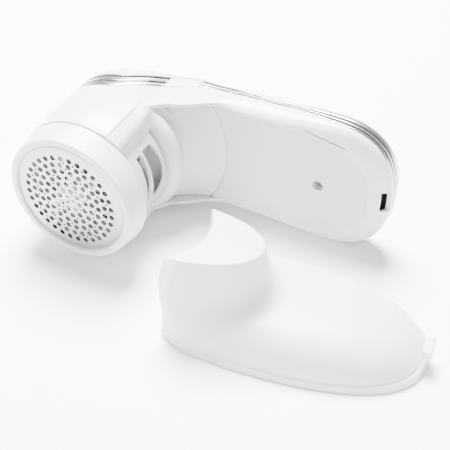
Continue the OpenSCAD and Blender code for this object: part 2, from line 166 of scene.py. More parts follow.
def field_mesh(f, low, high, step):
    """Surface where f is 0, as quads, with every vertex moved onto it."""
    n = [int(math.ceil((h - l) / step)) + 1 for l, h in zip(low, high)]
    axes = [l + step * np.arange(k) for l, k in zip(low, n)]
    x, y, z = np.meshgrid(*axes, indexing="ij", sparse=True)
    v = np.broadcast_to(f(x, y, z), n).astype(np.float32)
    neg = v < 0
    corner = [(i, j, k) for i in (0, 1) for j in (0, 1) for k in (0, 1)]
    cell = [m - 1 for m in n]
    cut = lambda a, c: a[c[0]:c[0] + cell[0], c[1]:c[1] + cell[1], c[2]:c[2] + cell[2]]
    count = sum(cut(neg, c).astype(np.int8) for c in corner)
    mixed = (count > 0) & (count < 8)
    ids = -np.ones(cell, np.int64)
    where = np.argwhere(mixed)
    ids[mixed] = np.arange(len(where))
    total, hits = np.zeros((len(where), 3)), np.zeros(len(where))
    for a in corner:
        for axis in range(3):
            if a[axis]:
                continue
            b = tuple(a[i] + (i == axis) for i in range(3))
            va = v[tuple((where + a).T)]
            vb = v[tuple((where + b).T)]
            cross = (va < 0) != (vb < 0)
            t = np.where(cross, va / np.where(va == vb, 1, va - vb), 0)
            pt = where + np.array(a) + np.outer(t, np.eye(3)[axis])
            total += pt * cross[:, None]
            hits += cross
    p = np.array(low) + step * total / hits[:, None]
    ev = lambda q: f(q[:, 0], q[:, 1], q[:, 2])
    for _ in range(3):
        g = np.stack([ev(p + 0.04 * e) - ev(p - 0.04 * e) for e in np.eye(3)], -1) / 0.08
        d = (ev(p) / np.maximum((g * g).sum(-1), 0.05))[:, None] * g
        size = np.linalg.norm(d, axis=1, keepdims=True)
        p = p - d * np.minimum(1, 0.4 * step / np.maximum(size, 1e-9))
    faces = []
    for axis in range(3):
        u, w = (axis + 1) % 3, (axis + 2) % 3
        lo = [slice(None)] * 3
        hi = [slice(None)] * 3
        lo[axis], hi[axis] = slice(0, -1), slice(1, None)
        for s in (lo, hi):
            s[u] = s[w] = slice(1, -1)
        a, b = neg[tuple(lo)], neg[tuple(hi)]
        at = np.argwhere(a != b)
        side = a[a != b]
        base = at.copy()
        base[:, u] += 1
        base[:, w] += 1
        quad = []
        for du, dw in ((-1, -1), (0, -1), (0, 0), (-1, 0)):
            c = base.copy()
            c[:, u] += du
            c[:, w] += dw
            quad.append(ids[tuple(c.T)])
        q = np.stack(quad, -1)
        q[~side] = q[~side][:, ::-1]
        faces.append(q)
    return p, np.vstack(faces)


def smin(a, b, k):
    h = np.clip(0.5 + 0.5 * (b - a) / k, 0, 1)
    return b + (a - b) * h - k * h * (1 - h)


def smax(a, b, k):
    return -smin(-a, -b, k)


# ---- the housing's outline and heights, as in the CAD ----
def side_w(x):
    sweep = math.radians(SWEEP_A)
    jx, jw, jm = HEAD_R * math.cos(sweep), HEAD_R * math.sin(sweep), -1 / math.tan(sweep)

    def cubic(t, p0, m0, p1):
        return ((2 * t ** 3 - 3 * t * t + 1) * p0 + (t ** 3 - 2 * t * t + t) * m0
                + (3 * t * t - 2 * t ** 3) * p1)

    a = cubic((x - jx) / (WAIST_X - jx), jw, jm * (WAIST_X - jx), WAIST_W)
    b = cubic((x - WAIST_X) / (BULGE_X - WAIST_X), WAIST_W, 0.0, BULGE_W)
    return np.where(x < WAIST_X, a, b)


JOIN_X = HEAD_R * math.cos(math.radians(SWEEP_A))


def end_curve(t, a, b, x0):
    power = 2 / END_POWER
    return np.stack([x0 + a * np.sin(t) ** power, b * np.maximum(0, np.cos(t)) ** power], -1)


def half_lines():
    """Matching points of the widest outline, of the flat face's outline and of the spine."""
    arc = np.radians(np.linspace(180, SWEEP_A, 60))
    arc = HEAD_R * np.stack([np.cos(arc), np.sin(arc)], -1)
    xs = np.concatenate([np.linspace(JOIN_X, 13.2, 5)[1:], np.linspace(13.2, 15.8, 30)[1:],
                         np.linspace(15.8, 30, 26)[1:], np.linspace(30, BULGE_X, 80)[1:]])
    t = (xs - JOIN_X) / (BULGE_X - JOIN_X)
    wide_side = np.stack([xs, side_w(xs)], -1)
    xf = mix(JOIN_X, FACE_ROUND, t)
    beside = side_w(xf) - 0.3 * np.minimum(1, 3 * t)
    face_side = np.stack([xf, mix(beside, FACE_W, smooth((xf - 36) / 16))], -1)
    e = np.radians(np.linspace(0, 90, 64))[1:]
    wide = np.vstack([arc, wide_side, end_curve(e, HANDLE_END - BULGE_X, BULGE_W, BULGE_X)])
    face = np.vstack([arc, face_side, end_curve(e, FACE_END - FACE_ROUND, FACE_W, FACE_ROUND)])
    spine = np.concatenate([np.zeros(len(arc)), BULGE_X * t, np.full(len(e), BULGE_X)])
    return wide, face, spine


def full(half):
    mirror = half[-2:0:-1].copy()
    if mirror.ndim == 2:
        mirror[:, 1] *= -1
    return np.concatenate([half, mirror])


HALF_WIDE, HALF_FACE, HALF_SPINE = half_lines()
WIDE, FACE, SPINE = full(HALF_WIDE), full(HALF_FACE), full(HALF_SPINE)
N = len(WIDE)


def inward_of(loop):
    d = np.roll(loop, -1, 0) - np.roll(loop, 1, 0)
    n = np.stack([d[:, 1], -d[:, 0]], -1)
    return n / np.linalg.norm(n, axis=1, keepdims=True)


WIDE_IN, FACE_IN = inward_of(WIDE), inward_of(FACE)


def band_low(x):
    return mix(BAND_FRONT, BAND_BACK, smooth((x + 8) / 44)) - (BAND_BACK - BAND_END) * smooth((x - 70) / 35)


def band_high(x):
    return mix(55.0, 76.0, smooth((x + 6) / 36))


def crown(x):
    return CROWN_Z - 2 * smooth((x - 10) / 60)


def low_edge(x):
    """Height of the front shell's free edge: the skirt at the head, the flat face along the handle."""
    return (mix(COLLAR_Z + 0.2, 43.0, smooth((x - 13.6) / 1.8)) + 7.5 * smooth((x - 17) / 10)
            + (FACE_Z - 50.5) * smooth((x - 24) / 27))


# ---- materials ----
def material(name, color, rough, metal=0.0, bump=0.02, bump_scale=900.0, spread=0.02, rough_spread=0.05,
             coat=0.0, sub=0.0, trans=0.0, ior=1.46, stretch=(1, 1, 1), aniso=0.0, blotch=60.0):
    mat = bpy.data.materials.new(name)
    mat.use_nodes = True
    nodes, links = mat.node_tree.nodes, mat.node_tree.links
    bsdf = nodes["Principled BSDF"]
    bsdf.inputs["Metallic"].default_value = metal
    bsdf.inputs["Coat Weight"].default_value = coat
    bsdf.inputs["Coat Roughness"].default_value = 0.08
    bsdf.inputs["Subsurface Weight"].default_value = sub
    bsdf.inputs["Subsurface Radius"].default_value = (0.004, 0.004, 0.004)
    bsdf.inputs["Subsurface Scale"].default_value = 1.0
    bsdf.inputs["Transmission Weight"].default_value = trans
    bsdf.inputs["IOR"].default_value = ior
    bsdf.inputs["Anisotropic"].default_value = aniso
    coord = nodes.new("ShaderNodeTexCoord")
    place = nodes.new("ShaderNodeMapping")
    place.inputs["Scale"].default_value = stretch
    links.new(coord.outputs["Object"], place.inputs["Vector"])
    wide = nodes.new("ShaderNodeTexNoise")
    wide.inputs["Scale"].default_value = blotch
    wide.inputs["Detail"].default_value = 4.0
    links.new(place.outputs["Vector"], wide.inputs["Vector"])
    ramp = nodes.new("ShaderNodeMapRange")
    ramp.inputs["To Min"].default_value = 1 - spread
    ramp.inputs["To Max"].default_value = 1 + spread
    links.new(wide.outputs["Fac"], ramp.inputs["Value"])
    tint = nodes.new("ShaderNodeVectorMath")
    tint.operation = "SCALE"
    tint.inputs[0].default_value = color
    links.new(ramp.outputs["Result"], tint.inputs["Scale"])
    links.new(tint.outputs["Vector"], bsdf.inputs["Base Color"])
    shine = nodes.new("ShaderNodeMapRange")
    shine.inputs["To Min"].default_value = max(0.02, rough - rough_spread)
    shine.inputs["To Max"].default_value = rough + rough_spread
    fine = nodes.new("ShaderNodeTexNoise")
    fine.inputs["Scale"].default_value = bump_scale
    fine.inputs["Detail"].default_value = 3.0
    links.new(place.outputs["Vector"], fine.inputs["Vector"])
    links.new(fine.outputs["Fac"], shine.inputs["Value"])
    links.new(shine.outputs["Result"], bsdf.inputs["Roughness"])
    relief = nodes.new("ShaderNodeBump")
    relief.inputs["Strength"].default_value = bump
    relief.inputs["Distance"].default_value = 0.0004
    links.new(fine.outputs["Fac"], relief.inputs["Height"])
    links.new(relief.outputs["Normal"], bsdf.inputs["Normal"])
    return mat


WHITE = (0.66, 0.66, 0.665)
MATS = {
    "white_shell": material("white_shell", WHITE, 0.27, bump=0.03, sub=0.0),
    # white_panel and white_chamber: the shell's white plastic made darker (0.60 against 0.66), painted shade
    # for the flat face turned from the key light and for the shaded neck
    "white_panel": material("white_panel", (0.60, 0.595, 0.60), 0.30, bump=0.05, bump_scale=1400.0),
    "white_chamber": material("white_chamber", (0.60, 0.595, 0.60), 0.31, bump=0.03),
    "white_ring": material("white_ring", (0.66, 0.66, 0.665), 0.28, bump=0.02),
    "white_button": material("white_button", (0.66, 0.66, 0.665), 0.28, bump=0.03),
    "silver_trim": material("silver_trim", (0.52, 0.52, 0.53), 0.26, metal=1.0, bump=0.02, rough_spread=0.06),
    # near-black colour for the band's grooves: painted shade, standing in for the shade inside the grooves
    "groove_painted_shade": material("groove_painted_shade", (0.035, 0.035, 0.037), 0.5, metal=0.0, bump=0.05),
    "foil_steel": material("foil_steel", (0.40, 0.40, 0.395), 0.34, metal=1.0, bump=0.05, bump_scale=500.0,
                           rough_spread=0.08, spread=0.04),
    "blade_steel": material("blade_steel", (0.55, 0.55, 0.56), 0.22, metal=1.0, bump=0.06, stretch=(1, 6, 1)),
    "hub_plastic": material("hub_plastic", (0.72, 0.72, 0.71), 0.42, bump=0.06),
    "spring_steel": material("spring_steel", (0.45, 0.45, 0.46), 0.30, metal=1.0, bump=0.2,
                             bump_scale=1600.0),
    "spindle_plastic": material("spindle_plastic", (0.66, 0.66, 0.65), 0.40, bump=0.06),
    "shaft_steel": material("shaft_steel", (0.58, 0.58, 0.59), 0.16, metal=1.0, bump=0.03),
    "felt": material("felt", (0.10, 0.095, 0.09), 0.9, bump=0.8, bump_scale=2600.0, spread=0.2),
    "motor_steel": material("motor_steel", (0.56, 0.57, 0.58), 0.26, metal=1.0, bump=0.04),
    "motor_plastic": material("motor_plastic", (0.02, 0.02, 0.022), 0.5, bump=0.1),
    "bracket_plastic": material("bracket_plastic", (0.62, 0.62, 0.60), 0.45, bump=0.1),
    "screw_steel": material("screw_steel", (0.42, 0.42, 0.43), 0.3, metal=1.0, bump=0.08),
    "cell_wrap": material("cell_wrap", (0.02, 0.09, 0.32), 0.3, bump=0.04, coat=0.5),
    "tab_nickel": material("tab_nickel", (0.60, 0.58, 0.54), 0.32, metal=1.0, bump=0.08),
    "board_green": material("board_green", (0.01, 0.10, 0.035), 0.36, bump=0.1, spread=0.15),
    "socket_steel": material("socket_steel", (0.48, 0.48, 0.49), 0.28, metal=1.0, bump=0.05),
    "led_lens": material("led_lens", (0.80, 0.22, 0.03), 0.15, bump=0.02, sub=0.2),
    "switch_plastic": material("switch_plastic", (0.03, 0.03, 0.032), 0.5, bump=0.1),
    "lead_red": material("lead_red", (0.45, 0.02, 0.02), 0.5, bump=0.1),
    "lead_black": material("lead_black", (0.015, 0.015, 0.015), 0.5, bump=0.1),
    "milky_bin": material("milky_bin", (0.88, 0.885, 0.895), 0.34, bump=0.03, trans=0.35, ior=1.35,
                          rough_spread=0.04),
}

for node in frame["record"]["subparts"]:
    obj = frame["nodes"][node["node"]]
    obj.data.materials.clear()
    obj.data.materials.append(MATS[node["material_slot"]])

# ---- front shell: skirt round the head and side walls of the handle ----
def front_loops():
    x = WIDE[:, 0]
    low_z, high_z = low_edge(x), band_low(x) - 0.06
    handle = smooth((x - 20) / 8)
    near_arch = smooth((x - 9) / 4) * (1 - smooth((x - 17) / 5))

    def at(t, g):
        """Surface point of each column at height share t, moved inwards by g."""
        rise = mix(t, 0.35 * t + 0.65 * (1 - math.cos(math.pi / 2 * t)), handle)
        z = mix(low_z, high_z, rise)
        share = math.sin(math.pi / 2 * t)
        p = FACE + (WIDE - FACE) * share
        n = FACE_IN + (WIDE_IN - FACE_IN) * share
        n /= np.linalg.norm(n, axis=1, keepdims=True)
        near = (x < 22) & (x > JOIN_X)
        p = p.copy()
        p[:, 0] += 2.2 * (1 - smooth((z - 36) / 11)) * near_arch
        round_y = np.sqrt(np.maximum(1.0, HEAD_R ** 2 - np.minimum(p[:, 0], 24) ** 2))
        own_y = mix(side_w(p[:, 0]), round_y, 1 - smooth((z - 24) / 24))
        p[:, 1] = np.where(near, np.sign(WIDE[:, 1]) * own_y, p[:, 1])
        taper = mix(HEAD_R - TUBE_R, 0.35, smooth((z - COLLAR_Z) / 14))
        taper = taper * (z < 44) * (1 - smooth((z - 24) / 19))
        p = p + n * (g + np.maximum(taper, 0))[:, None]
        return p, n, z

    lip = np.where(x < 12.9, 0.35, mix(mix(0.03, 0.9, smooth((x - 16) / 6)), 0.12, smooth((x - 42) / 10)))
    loops = []
    outer = np.concatenate([np.linspace(0, 0.16, 9), np.linspace(0.16, 1, 34)[1:]])
    # free edge: from the inner corner round to the outside
    for a in np.linspace(180, 0, 9):
        turn = math.cos(math.radians(a))
        g = np.where(a > 90, WALL - lip * (1 + turn), lip * (1 - turn))
        p, _, z = at(0.0, g)
        dz = lip * (1 - math.sin(math.radians(a)))
        loops.append(np.column_stack([p, z + dz * np.where(x > 44, np.where(a > 90, 1, 0), 1)]))
    p, _, z = at(0.0, np.zeros(N))
    for t in outer[1:]:
        p, _, z = at(t, np.zeros(N))
        shift = (lip * (1 - smooth(t / 0.08)) * (x < 44))
        loops.append(np.column_stack([p, z + shift]))
    for t in (1.0, 0.8, 0.5, 0.2, 0.06):
        p, _, z = at(t, np.full(N, WALL))
        loops.append(np.column_stack([p, z]))
    return np.array(loops)


front = skin("front_shell_skin", front_loops(), MATS["white_shell"], "housing",
             ["front_shell"])


def block(low, high, round_by=0.5, axis=0):
    """Box with its edges along one axis rounded, as (verts, faces)."""
    u, w = [i for i in range(3) if i != axis]
    corners = [(low[u], low[w]), (high[u], low[w]), (high[u], high[w]), (low[u], high[w])]
    ring = rounded(corners, [round_by] * 4, 6)
    n = len(ring)
    pts = np.zeros((2 * n, 3))
    for k, at in enumerate((low[axis], high[axis])):
        rows = slice(k * n, (k + 1) * n)
        pts[rows, u], pts[rows, w], pts[rows, axis] = ring[:, 0], ring[:, 1], at
    faces = [tuple(range(n))[::-1], tuple(range(n, 2 * n))]
    faces += [(i, (i + 1) % n, (i + 1) % n + n, i + n) for i in range(n)]
    if axis == 1:
        faces = [f[::-1] for f in faces]
    return pts, faces


def carve(obj, parts, crease=32):
    """Cuts closed shapes out of a piece."""
    for v, f in parts:
        mesh = bpy.data.meshes.new("cutter")
        mesh.from_pydata(tool_to_row(v).tolist(), [], [tuple(q) for q in f])
        cutter = bpy.data.objects.new("cutter", mesh)
        bpy.context.scene.collection.objects.link(cutter)
        mod = obj.modifiers.new("cut", "BOOLEAN")
        mod.operation, mod.object, mod.solver = "DIFFERENCE", cutter, "EXACT"
        bpy.context.view_layer.update()
        done = bpy.data.meshes.new_from_object(obj.evaluated_get(bpy.context.evaluated_depsgraph_get()))
        obj.modifiers.clear()
        bpy.data.objects.remove(cutter)
        done.set_sharp_from_angle(angle=math.radians(crease))
        obj.data = done


GROOVE_A, GROOVE_B = (85.9, -28.1), (105.9, -24.6)


def groove_cut():
    (x0, y0), (x1, y1) = GROOVE_A, GROOVE_B
    v, f = block((0, -0.3, -1.0), (math.hypot(x1 - x0, y1 - y0), 0.3, 0.75), 0.1)
    a = math.atan2(y1 - y0, x1 - x0)
    return np.stack([x0 + v[:, 0] * math.cos(a) - v[:, 1] * math.sin(a),
                     y0 + v[:, 0] * math.sin(a) + v[:, 1] * math.cos(a), FACE_Z + v[:, 2]], -1), f


SLOT_LOW = (HANDLE_END - 12, -6.2, USB_Z - 1.8)
SLOT_HIGH = (HANDLE_END + 4, 4.5, USB_Z + 1.8)
carve(front, [groove_cut(), block(SLOT_LOW, SLOT_HIGH, 0.6)])


# ---- silver band: fine grooves between bright ribs, with painted shade laid in the grooves ----
def trim_loops(shade_marks=None):
    x = WIDE[:, 0]
    low, high = band_low(x) + 0.02, band_high(x) - 0.05
    s = smooth((x - 30) / 40)
    lines = [np.full(N, 0.06), mix(0.47, 0.36, s), mix(0.90, 0.68, s)]
    width = mix(0.52, 0.38, s)
    span = high - low
    rows = []
    for v in np.linspace(0, 1, 67):
        z = low + span * v
        depth = 0.16 + 0.12 * np.sin(math.pi * v * 2.2) ** 2
        for f in lines:
            depth = depth + 0.85 * np.exp(-(((v - f) * span) / width) ** 2)
        # rows deep in a groove are marked for the painted shade
        if shade_marks is not None:
            shade_marks.append(depth > 0.42)
        depth = depth + 0.4 * max(0.0, v - 0.985) / 0.015
        p = WIDE + WIDE_IN * depth[:, None]
        rows.append(np.column_stack([p, z]))
    for v in (1.0, 0.5, 0.0):
        rows.append(np.column_stack([WIDE + WIDE_IN * WALL, low + span * v]))
    return np.array(rows)


def kept_columns():
    """Columns of a closed skin without those that the power button fills, in order from one cut end to the
    other.
    """
    x, y = WIDE[:, 0], WIDE[:, 1]
    keep = ~((x > BUTTON_X0) & (x < BUTTON_X1) & (y < 0))
    first = int(np.argmin(keep))
    order = [(first + i) % N for i in range(N)]
    order = [i for i in order if keep[i]]
    return order


def trim_piece():
    shade_marks = []
    loops = trim_loops(shade_marks)
    order = kept_columns()
    p = loops[:, order]
    p[:, 0, 0], p[:, -1, 0] = [BUTTON_X0 if q[0, 0] < 22 else BUTTON_X1 for q in (p[:, 0], p[:, -1])]
    rows, cols = p.shape[:2]
    faces = grid_faces(rows, cols, True, False).tolist()
    faces.append(tuple(i * cols for i in range(rows)))
    faces.append(tuple(i * cols + cols - 1 for i in range(rows))[::-1])
    obj = make("trim_skin", p.reshape(-1, 3), faces, MATS["silver_trim"], "housing",
               ["trim_frame"], 60)
    # faces in the grooves get the near-black painted shade as their second material
    obj.data.materials.append(MATS["groove_painted_shade"])
    painted_shade = np.zeros((rows, cols), bool)
    painted_shade[:len(shade_marks)] = np.array(shade_marks)[:, order]
    in_groove_shade = painted_shade[:-1] | painted_shade[1:]
    index = [1 if f[0] // cols < rows - 1 and in_groove_shade[f[0] // cols, f[0] % cols] else 0 for f in faces]
    obj.data.polygons.foreach_set("material_index", index)
    return obj


trim_piece()


# ---- back shell ----
def dome_loops():
    x = WIDE[:, 0]
    mid = np.column_stack([SPINE, np.zeros(N)])
    loops = []
    base = band_high(x)
    for a in np.linspace(0, 90, 6):
        g = 0.35 * (1 - math.sin(math.radians(a)))
        height = base + 0.05 + 0.35 * (1 - math.cos(math.radians(a)))
        loops.append(np.column_stack([WIDE + WIDE_IN * g, height]))
    for t in np.sin(np.linspace(0.03, 1, 46) * math.pi / 2):
        p = mid + (WIDE - mid) * math.cos(math.radians(89.2 * t))
        z = mix(base + 0.4, crown(p[:, 0]), math.sin(math.radians(90 * t)))
        loops.append(np.column_stack([p, z]))
    return np.array(loops)


def dome_piece():
    out = dome_loops()
    rows = len(out)
    inner = [np.column_stack([WIDE + WIDE_IN * WALL, band_high(WIDE[:, 0]) + 0.05])]
    p = np.concatenate([np.array(inner), out])
    faces = grid_faces(rows + 1, N, False, True).tolist()
    last = rows * N
    half = N // 2
    for i in range(1, half - 1):
        faces.append((last + i, last + i + 1, last + N - i - 1, last + N - i))
    faces.append((last, last + 1, last + N - 1))
    faces.append((last + half - 1, last + half, last + half + 1))
    return make("back_shell_skin", p.reshape(-1, 3), faces, MATS["white_shell"], "housing",
                ["back_shell"], 40)


dome_piece()


# ---- flat face of the handle, with its screw recess ----
def panel_piece():
    """Outline of the planar face, cut by the neck's circle, and the round hole for the screw recess."""
    loop = FACE + FACE_IN * (WALL + 0.06)
    keep = loop[np.hypot(loop[:, 0], loop[:, 1]) > NECK_R + 0.05]
    keep = keep[keep[:, 0] > 20]
    upper = keep[keep[:, 1] > 0]
    lower = keep[keep[:, 1] <= 0]
    edge = [tuple(q) for q in upper] + [tuple(q) for q in lower]
    a1 = math.atan2(upper[0][1], upper[0][0])
    a0 = math.atan2(lower[-1][1], lower[-1][0])
    arc = [(NECK_R * math.cos(a) + 0.05, NECK_R * math.sin(a)) for a in np.linspace(a0, a1, 60)[1:-1]]
    outline = edge + arc
    round_hole = np.linspace(0, 2 * math.pi, 48, endpoint=False)
    hole = [(SCREW_X + 2.6 * math.cos(a), 2.6 * math.sin(a)) for a in round_hole]
    return outline, hole


def plate(outline, holes, inside):
    """Triangles filling an outline less its holes."""
    pts = [Vector(q) for q in outline]
    loops = [list(range(len(outline)))]
    for h in holes:
        loops.append(list(range(len(pts), len(pts) + len(h))))
        pts += [Vector(q) for q in h]
    edges = [(l[i], l[(i + 1) % len(l)]) for l in loops for i in range(len(l))]
    verts, _, tris, _, _, _ = delaunay_2d_cdt(pts, edges, [], 0, 1e-6)
    v = np.array([tuple(q) for q in verts])
    t = np.array([q for q in tris])
    c = v[t].mean(1)
    return v, t[inside(c)]


def in_polygon(points, outline):
    poly = np.asarray(outline)
    x, y = points[:, 0][:, None], points[:, 1][:, None]
    x0, y0 = poly[:, 0][None], poly[:, 1][None]
    x1, y1 = np.roll(poly[:, 0], -1)[None], np.roll(poly[:, 1], -1)[None]
    cross = ((y0 > y) != (y1 > y)) & (x < (x1 - x0) * (y - y0) / np.where(y1 == y0, 1e-9, y1 - y0) + x0)
    return cross.sum(1) % 2 == 1


def thick_plate(v, t, z0, z1):
    """A flat triangulated plate given thickness; its borders become walls."""
    n = len(v)
    bottom = np.column_stack([v, np.full(n, z0)])
    top = np.column_stack([v, np.full(n, z1)])
    faces = [tuple(q[::-1]) for q in t.tolist()] + [tuple(i + n for i in q) for q in t.tolist()]
    seen = {}
    for q in t.tolist():
        for i in range(3):
            e = (q[i], q[(i + 1) % 3])
            if (e[1], e[0]) in seen:
                del seen[(e[1], e[0])]
            else:
                seen[e] = True
    for a, b in seen:
        faces.append((a, b, b + n, a + n))
    return np.vstack([bottom, top]), faces


def make_panel():
    outline, hole = panel_piece()
    inside = lambda c: in_polygon(c, outline) & (np.hypot(c[:, 0] - SCREW_X, c[:, 1]) > 2.58)
    v, t = plate(outline, [hole], inside)
    parts = [thick_plate(v, t, FACE_Z, FACE_Z + WALL)]
    cup = rounded([(2.6, 0.02), (3.0, 0.2), (4.2, 0.2), (4.2, 6), (1.4, 6), (1.4, 5), (2.6, 5)],
                  [0.15, 0, 0, 0.2, 0, 0, 0.2])
    cv, cf = revolve(cup, 64)
    cv = cv + np.array([SCREW_X, 0, FACE_Z])
    parts.append((cv, cf))
    v, f = merge(parts)
    return make("handle_panel_skin", v, f, MATS["white_panel"], "housing",
                ["handle_panel"], 25)


make_panel()


# ---- blade chamber and neck: outlets, lobe, valley and the funnel to the flat face ----
def skirt_depth(x, y, z):
    """Distance from the outer surface of the head and of the side walls near it, negative inside."""
    on_skirt = 1 - smooth((z - 24) / 24)
    round_y = np.sqrt(np.maximum(1.0, HEAD_R ** 2 - np.minimum(x, 22) ** 2))
    taper = mix(HEAD_R - TUBE_R, 0.35, smooth((z - COLLAR_Z) / 14))
    taper = np.maximum(0, taper * (1 - smooth((z - 24) / 19)))
    return np.abs(y) + taper * 0.96 - mix(side_w(np.clip(x, 12, 90)), round_y, on_skirt)


def neck_height(r):
    s = np.clip((r - 30.5) / (NECK_R - 30.5), 0, 1.2)
    return FACE_Z - 13.8 * np.maximum(0, 1 - s) ** 1.6


def neck_field(x, y, z):
    rho = np.sqrt(x * x + y * y)
    ang = np.abs(np.degrees(np.arctan2(y, x)))
    tube = np.maximum(np.abs(rho - (CHAMBER_R - WALL / 2)) - WALL / 2,
                      np.maximum(6 - z, z - (FLOOR_Z + WALL)))
    flange = np.maximum(np.abs(rho - 28.8) - 0.9, np.maximum(6.2 - z, z - 12.9))
    tube = np.minimum(tube, flange)
    side = (ang - 36.0) * math.pi / 180 * CHAMBER_R
    slot = smax(np.abs(z - 24.45) - 1.95, side, 0.8)
    window_top = 38.6 - 0.0022 * ang * ang
    window = smax(smax(z - window_top, 28.0 - z, 0.8), side - 0.6, 1.4)
    tube = smax(tube, -slot, 0.5)
    tube = smax(tube, -window, 0.5)
    lobe = (np.sqrt(((rho - 27.9) / 5.6) ** 2 + ((z - 44.6) / 5.0) ** 2) - 1) * 5.2
    lobe = smax(lobe, 27.2 - rho, 0.4)
    g = neck_height(rho)
    layer = np.maximum(g - z, z - g - WALL) * 0.75
    wall_in = side_w(np.clip(x, 12, 90)) - 2.12
    flare = np.maximum(layer, np.abs(y) - wall_in)
    body = smin(lobe, flare, 2.6)
    body = np.maximum(body, np.maximum(np.abs(y) - wall_in, rho - NECK_R + 0.16))
    body = np.maximum(body, np.minimum(19.2 - x, np.maximum(rho - 32.6, 4 - x)))
    edge = 19.9 - 1.8 * smooth((z - 34) / 12) + 10 * smooth((z - 48) / 8)
    cheek = smax(skirt_depth(x, y, z) + 0.01, x - edge, 2.6)
    cheek = np.maximum(cheek, np.maximum(28.0 - rho, 9 - x))
    cheek = np.maximum(cheek, np.maximum(13.3 - z, z - 51.0))
    body = smin(body, cheek, 3.0)
    gap = np.maximum(np.abs(z - 39.6) - 0.42, np.maximum(26.9 - rho, rho - 29.5))
    gap = np.maximum(gap, side - 8.0)
    return smax(np.minimum(tube, body), -gap, 0.15)


def make_neck():
    v, f = field_mesh(neck_field, (-30.5, -32.5, 5.2), (49.5, 32.5, 66.2), 0.46)
    return make("blade_chamber_skin", v, f, MATS["white_chamber"], "housing",
                ["blade_chamber"], 38)


make_neck()


# ---- cutter ring with fine ridges, and the foil ----
def ridges(r, z, a):
    side = (r > 31.62) & (z > 1.4) & (z < RING_H - 0.8)
    return np.where(side, -0.10 * (0.5 + 0.5 * np.cos(a * 150)), 0.0)


FIRST_RING, RING_PITCH, HOLE_PITCH = 1.8, 3.4, 4.35


def make_ring():
    corner = [(28.3, 0.6), (28.8, 0.0), (31.0, 0.0), (31.6, 0.7)]
    side = [(mix(31.62, 33.2, t), mix(0.9, RING_H, t)) for t in (0.0, 0.05, 0.3, 0.6, 0.9, 1.0)]
    profile = rounded(corner + side + [(31.4, RING_H), (29.9, 3.0), (26.6, 2.2), (26.6, 1.3), (28.3, 1.3)],
                      [0.15, 0.25, 0.5, 0.4, 0, 0, 0, 0, 0, 0.3, 0.2, 0, 0, 0, 0], 5)
    v, f = revolve(profile, 900, ripple=ridges)
    return make("cutter_ring_skin", v, f, MATS["white_ring"], "ring", ["cutter_ring"], 50)


make_ring()


def foil_holes():
    """Rings of large holes, with small ones between them."""
    out = [(0.0, 0.0, 0.5)]
    for k in range(7):
        r = FIRST_RING + RING_PITCH * k
        count = round(2 * math.pi * r / HOLE_PITCH)
        for j in range(count):
            a = 2 * math.pi * j / count + math.radians(12 * k)
            out.append((r * math.cos(a), r * math.sin(a), 0.85 if k == 0 else 1.38))
            b = a + math.pi / count
            if k < 6:
                out.append(((r + 1.55) * math.cos(b), (r + 1.55) * math.sin(b), 0.55))
    return clear_holes(out)


def clear_holes(found):
    """Drops a small hole that would run into another."""
    keep = []
    for x, y, r in sorted(found, key=lambda h: -h[2]):
        if all(math.hypot(x - a, y - b) > r + c + 0.25 for a, b, c in keep):
            keep.append((x, y, r))
    return keep


def make_foil():
    holes = foil_holes()
    def ring(r, n, x=0.0, y=0.0):
        turn = np.linspace(0, 2 * math.pi, n, endpoint=False)
        return [(x + r * math.cos(a), y + r * math.sin(a)) for a in turn]

    outline = ring(24.4, 120)
    rims = [ring(r, 20, x, y) for x, y, r in holes]
    hx = np.array(holes)

    def inside(c):
        d = np.hypot(c[:, None, 0] - hx[None, :, 0], c[:, None, 1] - hx[None, :, 1])
        return (d > hx[None, :, 2] * 0.97).all(1) & (np.hypot(c[:, 0], c[:, 1]) < 24.4)

    v, t = plate(outline, rims, inside)
    parts = [thick_plate(v, t, 0.52, 0.86)]
    rim = rounded([(24.4, 0.52), (25.2, 0.52), (27.0, 0.78), (27.75, 0.98), (27.75, 1.18), (24.4, 0.86)],
                  [0, 0.6, 0.5, 0.1, 0.05, 0])
    parts.append(revolve(rim, 240))
    v, f = merge(parts)
    return make("foil_skin", v, f, MATS["foil_steel"], "foil_plate", ["foil"], 28)


make_foil()


